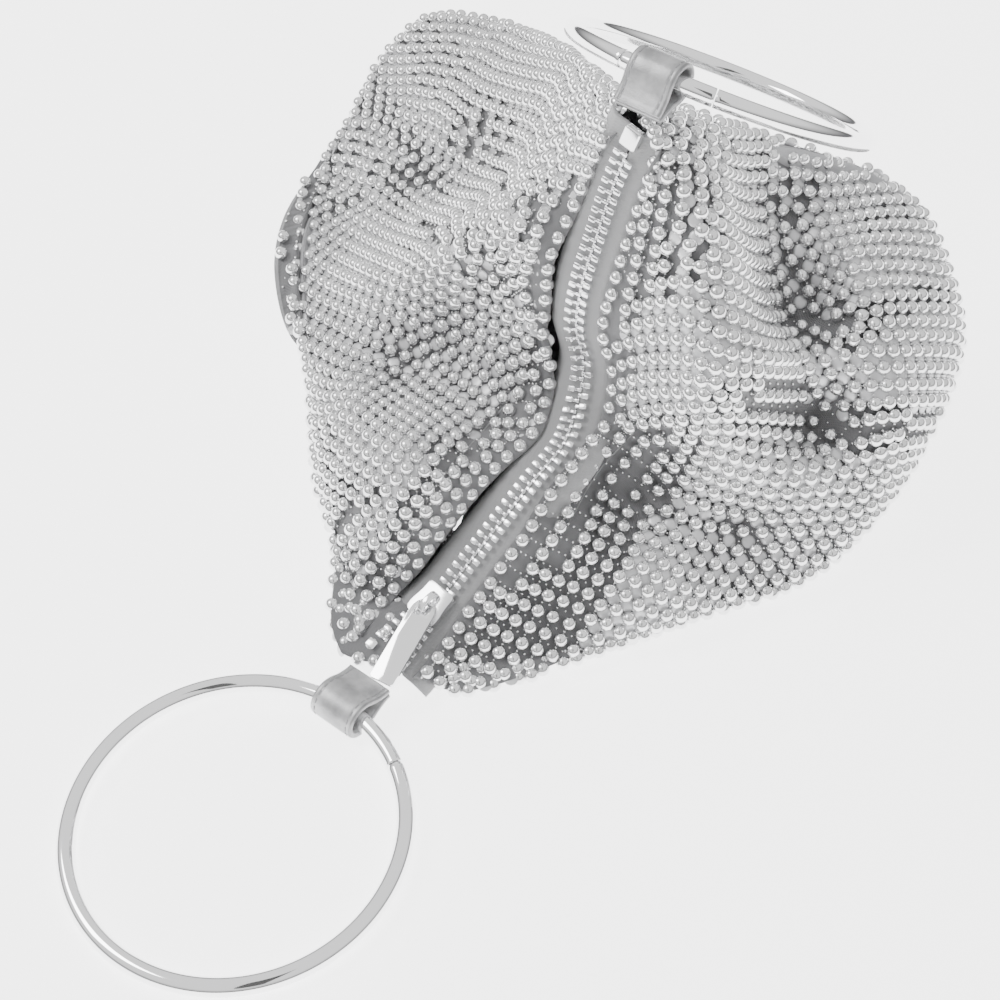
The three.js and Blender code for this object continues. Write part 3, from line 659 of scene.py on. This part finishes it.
BALL = cube_sphere(BALL_R, 4)
DISC = turned([[1.0, -0.5], [1.7, -0.45], [1.78, -0.2], [1.5, 0.02], [0.8, 0.16]], 12)
PRONG = turned([[0.26, -0.5], [0.34, -0.2], [0.2, 0.12]], 6)
ROOM_SHARE = 0.36  # the cloth's depth at most, as a share of the bag's thickness there
ABOVE_CLOTH = 0.45  # discs and prongs stand this far over the cloth
DISC_DEPTH = 2.35
PRONG_DEPTH = 2.3
PIECE_BALLS = 900
FLOOR_GAP = 0.1
ball_space, disc_space = Spaced(BALL_GAP), Spaced(DISC_SPACING)
ball_near = Spaced(DISC_GAP)


def scattered_piece(name, template, places, axes, materials, shares):
    points, faces = scatter(template, places, axes)
    piece = new_mesh(name, points, faces, "bag", materials)
    shade = rng.choice(len(materials), len(places), p=shares)
    piece.data.polygons.foreach_set("material_index", np.repeat(shade, len(template[1])).astype(np.int32))


def dress(word, side):
    """All balls, discs and prongs of one side, the balls shared out over pieces of a few hundred each."""
    grid, normals, room = panel_surface(side, GRID_ROWS, GRID_FRONT, GRID_REAR, PANEL_EDGE, DRESS_PASSES)
    steps = np.zeros(grid.shape[:2])
    steps[:, 1:] = np.cumsum(np.linalg.norm(np.diff(grid, axis=1), axis=-1), axis=1)
    count = int(steps[:, -1].max() / PITCH)
    kept = {"balls": [], "discs": [], "prongs": []}

    def row_places(distance, offset):
        for curve in row_curves(grid, normals, room, steps, distance):
            yield from zip(*along_row(curve, offset))

    for row in range(count):
        for place, axes, _ in row_places(FIRST_ROW + row * PITCH, 0):
            if ball_space.free(place):
                ball_space.keep(place)
                ball_near.keep(place)
                kept["balls"].append((place, axes, BALL_R))
    for row in range(2 * count):
        between = row % 2
        half = FIRST_ROW + row * PITCH / 2
        if between:
            for place, axes, free_depth in row_places(half, PITCH / 2):
                if ball_near.free(place) and disc_space.free(place):
                    disc_space.keep(place)
                    depth = min(DISC_DEPTH, ROOM_SHARE * free_depth - ABOVE_CLOTH)
                    kept["discs"].append((place, axes, depth))
        for place, axes, free_depth in row_places(half, 0 if between else PITCH / 2):
            depth = min(PRONG_DEPTH, ROOM_SHARE * free_depth - ABOVE_CLOTH)
            kept["prongs"].append((place, axes, depth))
    for kind, found in kept.items():
        places, axes, depths = (np.array(c) for c in zip(*found))
        places = places - axes[:, 2] * depths[:, None]
        if kind == "balls":
            places[:, 2] = np.maximum(places[:, 2], BALL_R + FLOOR_GAP)
            for part, start in enumerate(range(0, len(places), PIECE_BALLS)):
                some = slice(start, start + PIECE_BALLS)
                scattered_piece(f"mesh_balls_{word}_{part + 1}", BALL, places[some], axes[some], BALL_METALS,
                                (0.6, 0.25, 0.15))
        elif kind == "discs":
            scattered_piece(f"mesh_discs_{word}", DISC, places, axes, DISC_SATIN, (0.6, 0.4))
        else:
            scattered_piece(f"mesh_prongs_{word}", PRONG, places, axes, [PRONG_METAL], (1,))


# ---- backing cloth and lining: sheets under the balls ----
SHEET_ROWS, SHEET_FRONT, SHEET_REAR = 150, 70, 60
SHEET_OVERLAP = 0.6  # the cloth reaches this far under the tape's side of the panel's edge
LINING_DEPTH = 4.6
LINING_SHARE = 0.43  # the lining's depth at most, as a share of the bag's thickness there
LINING_CLEAR = 0.32  # least depth of the lining below the cloth's outer face
LINED = (slice(22, -10), slice(6, None))  # the lining stops short of the zip and of both its ends
CLOTH_THICK = 0.3  # of the lining too
EDGE_SINK = 0.62  # share of the cloth's depth at the tape
EDGE_RISE = 0.12  # share of the panel's columns over which it goes down to its full depth


def cloth_sheet(name, grid, normals, depth, thick, material, replaces):
    """A sheet under the balls, nearer to them where the bag is too thin for its full depth."""
    rising = np.linspace(0, 1, grid.shape[1])[None, :]
    sink = depth * np.minimum(1, EDGE_SINK + rising / EDGE_RISE)
    outer = grid - normals * sink[..., None]
    inner = grid - normals * (sink + thick)[..., None]
    points, faces = closed_sheet(outer, inner)
    piece = new_mesh(name, points, faces, "bag", [material], replaces=replaces)
    grid_uv(piece, grid)
    return piece


for word, side in (("left", 1), ("right", -1)):
    dress(word, side)
    grid, normals, room = panel_surface(side, SHEET_ROWS, SHEET_FRONT, SHEET_REAR,
                                        PANEL_EDGE - SHEET_OVERLAP, SHEET_PASSES)
    # the cloth's edge beside the tape rises to the balls' setting
    depth = np.minimum(CLOTH_DEPTH, ROOM_SHARE * room)
    cloth_sheet(f"mesh_cloth_{word}", grid, normals, depth, CLOTH_THICK, BACKING,
                [f"mesh_panel_{word}"])
    depth = np.maximum(depth + LINING_CLEAR, np.minimum(LINING_DEPTH, LINING_SHARE * room))[LINED]
    cloth_sheet(f"lining_sheet_{word}", grid[LINED], normals[LINED], depth, CLOTH_THICK, LINING,
                [f"lining_{word}"])


# ---- zip ----
def rounded_block(length, width, height, bevel, segments=2):
    """Points and triangles of a box with rounded edges, centred on the origin."""
    bm = bmesh.new()
    bmesh.ops.create_cube(bm, size=1)
    bmesh.ops.scale(bm, vec=(length, width, height), verts=bm.verts)
    bmesh.ops.bevel(bm, geom=bm.edges, offset=bevel, segments=segments, profile=0.6, affect="EDGES")
    bmesh.ops.triangulate(bm, faces=bm.faces)
    bm.verts.index_update()
    points = np.array([v.co for v in bm.verts])
    faces = np.array([[v.index for v in f.verts] for f in bm.faces])
    bm.free()
    return points, faces


def joined(*parts):
    """One template from several, each moved by its own offset."""
    points, faces, count = [], [], 0
    for (p, f), offset in parts:
        points.append(p + np.array(offset, float))
        faces.append(f + count)
        count += len(p)
    return np.vstack(points), np.vstack(faces)


def frames_at(shares, side):
    along, left, out, place = zip_frame(shares)
    return np.stack([along, left * side, out], 1), place, left


TAPE_FROM, TAPE_TO = 0.012, 0.987


def zip_tape(word, side):
    """One side of the tape: a thin woven strip, its outer edge tucked under the cloth's."""
    shares = np.linspace(TAPE_FROM, TAPE_TO, 150)
    _, left, out, place = zip_frame(shares)
    across = np.array([0.25, 0.8, 1.6, 2.5, 3.4, 4.4, 5.4, 6.3, 7.2, 8.4, 9.6])
    rise = np.array([0.05, 0.12, 0.16, 0.10, 0.02, 0.0, 0.02, -0.1, -0.6, -1.6, -3.0])
    reach = across[None, :, None] + opening(shares)[:, None, None]
    grid = place[:, None] + left[:, None] * side * reach + out[:, None] * rise[None, :, None]
    thick = out[:, None] * 0.28
    points, faces = closed_sheet(grid + thick, grid - thick)
    piece = new_mesh(f"zip_tape_woven_{word}", points, faces, "bag", [TAPE],
                     replaces=[f"zip_tape_{word}"])
    grid_uv(piece, grid)


def zip_teeth(word, side):
    """Separate metal teeth: a block crimped on the tape's edge, and a head that reaches past the middle."""
    count = int(0.925 * ZIP_LENGTH / TOOTH_PITCH)
    start = 0.03 + (0.5 * TOOTH_PITCH / ZIP_LENGTH if side > 0 else 0)
    shares = start + np.arange(count) * TOOTH_PITCH / ZIP_LENGTH
    axes, place, left = frames_at(shares, side)
    tooth = joined(
        (rounded_block(1.35, 1.9, 1.9, 0.25), (0, 1.95, 1.0)),
        (rounded_block(0.85, 1.3, 0.9, 0.2), (0, 0.55, 0.6)),
        (rounded_block(1.15, 0.6, 0.7, 0.2), (0, -0.05, 0.5)),
    )
    places = place + left * (side * opening(shares))[:, None]
    points, faces = scatter(tooth, places, axes)
    new_mesh(f"zip_teeth_row_{word}", points, faces, "bag", [ZIP_METAL],
             replaces=[f"zip_teeth_{word}"])


def dress_hard_node(node, material, bevel):
    """A CAD node whose shape is right: rounded edges and a real finish."""
    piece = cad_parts[node]
    piece.data.materials.clear()
    piece.data.materials.append(material)
    weld = piece.modifiers.new("weld", "WELD")
    weld.merge_threshold = 1e-6
    rounding = piece.modifiers.new("rounding", "BEVEL")
    rounding.width = bevel * MM
    rounding.segments = 3
    rounding.limit_method = "ANGLE"
    rounding.angle_limit = math.radians(28)
    rounding.harden_normals = True
    piece.data.polygons.foreach_set("use_smooth", np.ones(len(piece.data.polygons), bool))
    return piece


for word, side in (("left", 1), ("right", -1)):
    zip_tape(word, side)
    zip_teeth(word, side)
    dress_hard_node(f"zip_top_stop_{word}", ZIP_METAL, 0.3)
for node, bevel in (("zip_bottom_stop", 0.55), ("slider_body", 0.25), ("slider_bridge", 0.25)):
    dress_hard_node(node, ZIP_METAL, bevel)
dress_hard_node("pull_tab", RING_METAL, 0.3)


# ---- rings ----
def turn_about(axis, degrees):
    return np.array(Matrix.Rotation(math.radians(degrees), 3, axis))


def ring_place(end):
    """The ring's middle and its turn, as the CAD source places it."""
    reach = math.sqrt(RING_R**2 - end["aside"] ** 2)
    pitch = math.radians(end["ring_pitch"])
    x, y, z = end["eye"]
    middle = np.array([x - end["flip"] * reach * math.cos(pitch), y + end["aside"],
                       z - reach * math.sin(pitch)])
    if end["flip"] > 0:
        turn = turn_about("Y", -end["ring_pitch"]) @ turn_about("Z", 180)
    else:
        turn = turn_about("Y", end["ring_pitch"])
    return middle, turn


def ring_arc(end, start, stop, steps, sides=28):
    """A smooth stretch of round wire with slightly rounded ends."""
    middle, turn = ring_place(end)
    round_off = 0.35
    angles = list(np.radians(np.linspace(start, stop, steps)))
    radii = [WIRE_R] * steps
    tip = math.radians(0.16)
    angles = [angles[0], angles[0] + tip / 2, angles[0] + tip] + angles[1:-1] \
        + [angles[-1] - tip, angles[-1] - tip / 2, angles[-1]]
    radii = [WIRE_R - round_off * 0.6, WIRE_R - round_off * 0.15, WIRE_R] + radii[1:-1] \
        + [WIRE_R, WIRE_R - round_off * 0.15, WIRE_R - round_off * 0.6]
    around = np.arange(sides) * 2 * math.pi / sides
    sections = []
    for angle, radius in zip(angles, radii):
        outward = np.array([-math.cos(angle), math.sin(angle), 0])
        offsets = np.outer(np.cos(around), outward) + np.outer(np.sin(around), UP)
        sections.append(outward * RING_R + offsets * radius)
    sections = np.array(sections) @ turn.T + middle
    return tube(sections)


for word, end in ENDS.items():
    near = math.degrees(math.asin(-end["aside"] / RING_R)) * end["flip"]
    start = near + (JOINT_FROM if end["flip"] > 0 else -JOINT_TO)
    stop = near + (JOINT_TO if end["flip"] > 0 else -JOINT_FROM)
    for part, node, a, b, steps in (
        ("wire", "hoop", stop + SEAM_GAP_DEG, start + 360 - SEAM_GAP_DEG, 200),
        ("sleeve", "joint", start, stop, 36),
    ):
        points, faces = ring_arc(end, a, b, steps)
        new_mesh(f"ring_{part}_{word}", points, faces, f"ring_{word}", [RING_METAL],
                 replaces=[f"ring_{node}_{word}"])


# ---- leather loops ----
def loop_line():
    """The strap's middle line, seen from the side: from one tail round the eye to the other tail."""
    r = LOOP_EYE_R + LEATHER / 2
    tail = LEATHER / 2 + 0.12
    points = [[LOOP_TAIL, tail], [8.2, tail + 0.05], [6.8, tail + 0.45], [5.0, 2.0], [3.4, 3.0], [1.8, 3.85]]
    arc = np.radians(np.arange(90, 271, 12))
    top = [list(p) for p in points]
    round_eye = [[r * math.cos(a), r * math.sin(a)] for a in arc]
    bottom = [[x, -y] for x, y in reversed(top)]
    path = np.array(top + round_eye + bottom)
    return catmull(np.hstack([path, np.zeros((len(path), 1))]), False, 4)[:, :2]


def loop_section():
    """Across the strap, as [across, height]: rounded painted edges, and a pressed line inside each edge."""
    half, t = LOOP_WIDTH / 2, LEATHER / 2
    edge = 1.45
    side = [[half - 0.55, t * 0.96], [half - 0.15, t * 0.7], [half, 0],
            [half - 0.15, -t * 0.7], [half - 0.55, -t]]
    top = [[-half + edge - 0.5, t * 1.03], [-half + edge - 0.16, t - 0.05], [-half + edge, t - 0.17],
           [-half + edge + 0.16, t - 0.05], [-half + edge + 0.55, t]]
    top_right = [[-x, y] for x, y in reversed(top)]
    middle = [[x, t + 0.05 * (1 - (x / half) ** 2)] for x in (-3, -1, 1, 3)]
    left = [[-x, y] for x, y in reversed(side)]
    under = [[4, -t], [1.5, -t], [-1.5, -t], [-4, -t]]
    return np.array(left + top + middle + top_right + side + under)


def loop_outward(line):
    along = unit(np.gradient(line, axis=0))
    outward = np.stack([-along[:, 1], along[:, 0]], -1)
    if (outward[len(line) // 2] * line[len(line) // 2]).sum() < 0:
        outward = -outward
    return outward


def leather_loop(word, end):
    line = loop_line()
    outward = loop_outward(line)
    section = loop_section()
    turn = turn_about("Y", end["loop_pitch"])
    rings = []
    for p, n in zip(line, outward):
        flat = p[None] + n[None] * section[:, 1:2]
        rings.append(np.stack([flat[:, 0], section[:, 0], flat[:, 1]], -1))
    sections = np.array(rings) @ turn.T + end["eye"]
    points, faces = tube(sections)
    piece = new_mesh(f"strap_{word}", points, faces, f"loop_{word}",
                     [LEATHER_FOIL, LEATHER_EDGE], replaces=[f"leather_loop_{word}"])
    sides = len(section)
    nxt = np.roll(section, -1, axis=0)
    painted = (np.abs((section[:, 0] + nxt[:, 0]) / 2) > LOOP_WIDTH / 2 - 0.62)
    wall = np.tile(painted, len(line) - 1)
    index = np.concatenate([wall, np.zeros(len(faces) - (len(line) - 1) * sides, bool)])
    piece.data.polygons.foreach_set("material_index", index.astype(np.int32))
    return line, outward, turn


def stitches(word, end, line, outward, turn):
    """A row of stitches in the pressed line inside each edge, over the outer face."""
    steps = np.concatenate([[0], np.cumsum(np.linalg.norm(np.diff(line, axis=0), axis=1))])
    wanted = np.arange(0.9, steps[-1] - 0.6, 1.9)
    spots = np.stack([np.interp(wanted, steps, line[:, k]) for k in range(2)], -1)
    outs = unit(np.stack([np.interp(wanted, steps, outward[:, k]) for k in range(2)], -1))
    alongs = np.stack([outs[:, 1], -outs[:, 0]], -1)
    thread = rounded_block(1.25, 0.3, 0.26, 0.1)
    places, axes = [], []
    for edge in (1, -1):
        across = edge * (LOOP_WIDTH / 2 - 1.45)
        for p, n, a in zip(spots, outs, alongs):
            q = p + n * (LEATHER / 2 - 0.08)
            places.append([q[0], across, q[1]])
            axes.append([[a[0], 0, a[1]], [0, 1, 0], [n[0], 0, n[1]]])
    places = np.array(places) @ turn.T + end["eye"]
    axes = np.array(axes) @ turn.T
    points, faces = scatter(thread, places, axes)
    new_mesh(f"strap_stitches_{word}", points, faces, f"loop_{word}", [THREAD])


for word, end in ENDS.items():
    line, outward, turn = leather_loop(word, end)
    stitches(word, end, line, outward, turn)


# ---- floor, light and camera ----
def stage_plane(name, size, location, color, roughness, glow=0.0):
    mesh = bpy.data.meshes.new(name)
    s = size / 2
    mesh.from_pydata([(-s, -s, 0), (s, -s, 0), (s, s, 0), (-s, s, 0)], [], [(0, 1, 2, 3)])
    plane = bpy.data.objects.new(name, mesh)
    plane.location = location
    bpy.context.scene.collection.objects.link(plane)
    paint, _, _, shader = principled(f"{name}_paint", color, 0.0, roughness)
    shader.inputs["Emission Color"].default_value = (1, 1, 1, 1)
    shader.inputs["Emission Strength"].default_value = glow
    mesh.materials.append(paint)
    return plane


stage_plane("floor", 6.0, (0, 0, -0.0002), (0.93, 0.93, 0.93), 0.9, glow=3.2)


def area_light(name, location, size, power, aim):
    data = bpy.data.lights.new(name, "AREA")
    data.shape = "SQUARE"
    data.size = size
    data.energy = power
    light = bpy.data.objects.new(name, data)
    light.location = location
    light.rotation_mode = "QUATERNION"
    light.rotation_quaternion = (Vector(location) - Vector(aim)).to_track_quat("Z", "Y")
    bpy.context.scene.collection.objects.link(light)
    return light


centre = (cad_low + cad_high) / 2
area_light("key", (-0.35, 0.55, 0.95), 0.5, 7.0, centre)

world = bpy.data.worlds.new("light_tent")
world.use_nodes = True
bpy.context.scene.world = world
background = world.node_tree.nodes["Background"]
background.inputs["Strength"].default_value = 1.25
# the tent is bright overhead and darker round its foot, which edges the polished metal with grey
world_nodes, world_links = world.node_tree.nodes, world.node_tree.links
height = world_nodes.new("ShaderNodeSeparateXYZ")
world_links.new(world_nodes.new("ShaderNodeTexCoord").outputs["Generated"], height.inputs[0])
tent = world_nodes.new("ShaderNodeValToRGB")
tent.color_ramp.elements[0].position, tent.color_ramp.elements[0].color = 0.06, (0.16, 0.16, 0.165, 1)
tent.color_ramp.elements[1].position, tent.color_ramp.elements[1].color = 0.5, (1, 1, 1, 1)
world_links.new(height.outputs["Z"], tent.inputs["Fac"])
world_links.new(tent.outputs["Color"], background.inputs["Color"])

CAMERA_AT = Vector((-0.20947, -0.19503, 0.338))
CAMERA_RIGHT, CAMERA_UP = Vector((0.616, -0.788, 0)), Vector((0.595, 0.465, 0.656))
camera_data = bpy.data.cameras.new("camera")
camera_data.lens = 61.4
camera_data.sensor_width = 36
camera_data.clip_start, camera_data.clip_end = 0.01, 20
camera = bpy.data.objects.new("camera", camera_data)
back = CAMERA_RIGHT.cross(CAMERA_UP).normalized()
right = CAMERA_UP.cross(back).normalized()
camera.matrix_world = Matrix.Translation(CAMERA_AT) @ Matrix(
    [[right[i], back.cross(right)[i], back[i]] for i in range(3)]).to_4x4()
bpy.context.scene.collection.objects.link(camera)
bpy.context.scene.camera = camera

# a dark gap in the light tent round the lens, which the balls reflect as a small dark mark
CARD_AWAY, CARD_WIDE, CARD_TALL = 0.9, 0.20, 0.7
card = stage_plane("tent_gap", 1.0, (0, 0, 0), (0.02, 0.02, 0.02), 0.8)
card.matrix_world = Matrix.Translation(centre + back * CARD_AWAY) \
    @ camera.matrix_world.to_3x3().to_4x4() @ Matrix.Diagonal((CARD_WIDE, CARD_TALL, 1, 1))
card.visible_camera = False
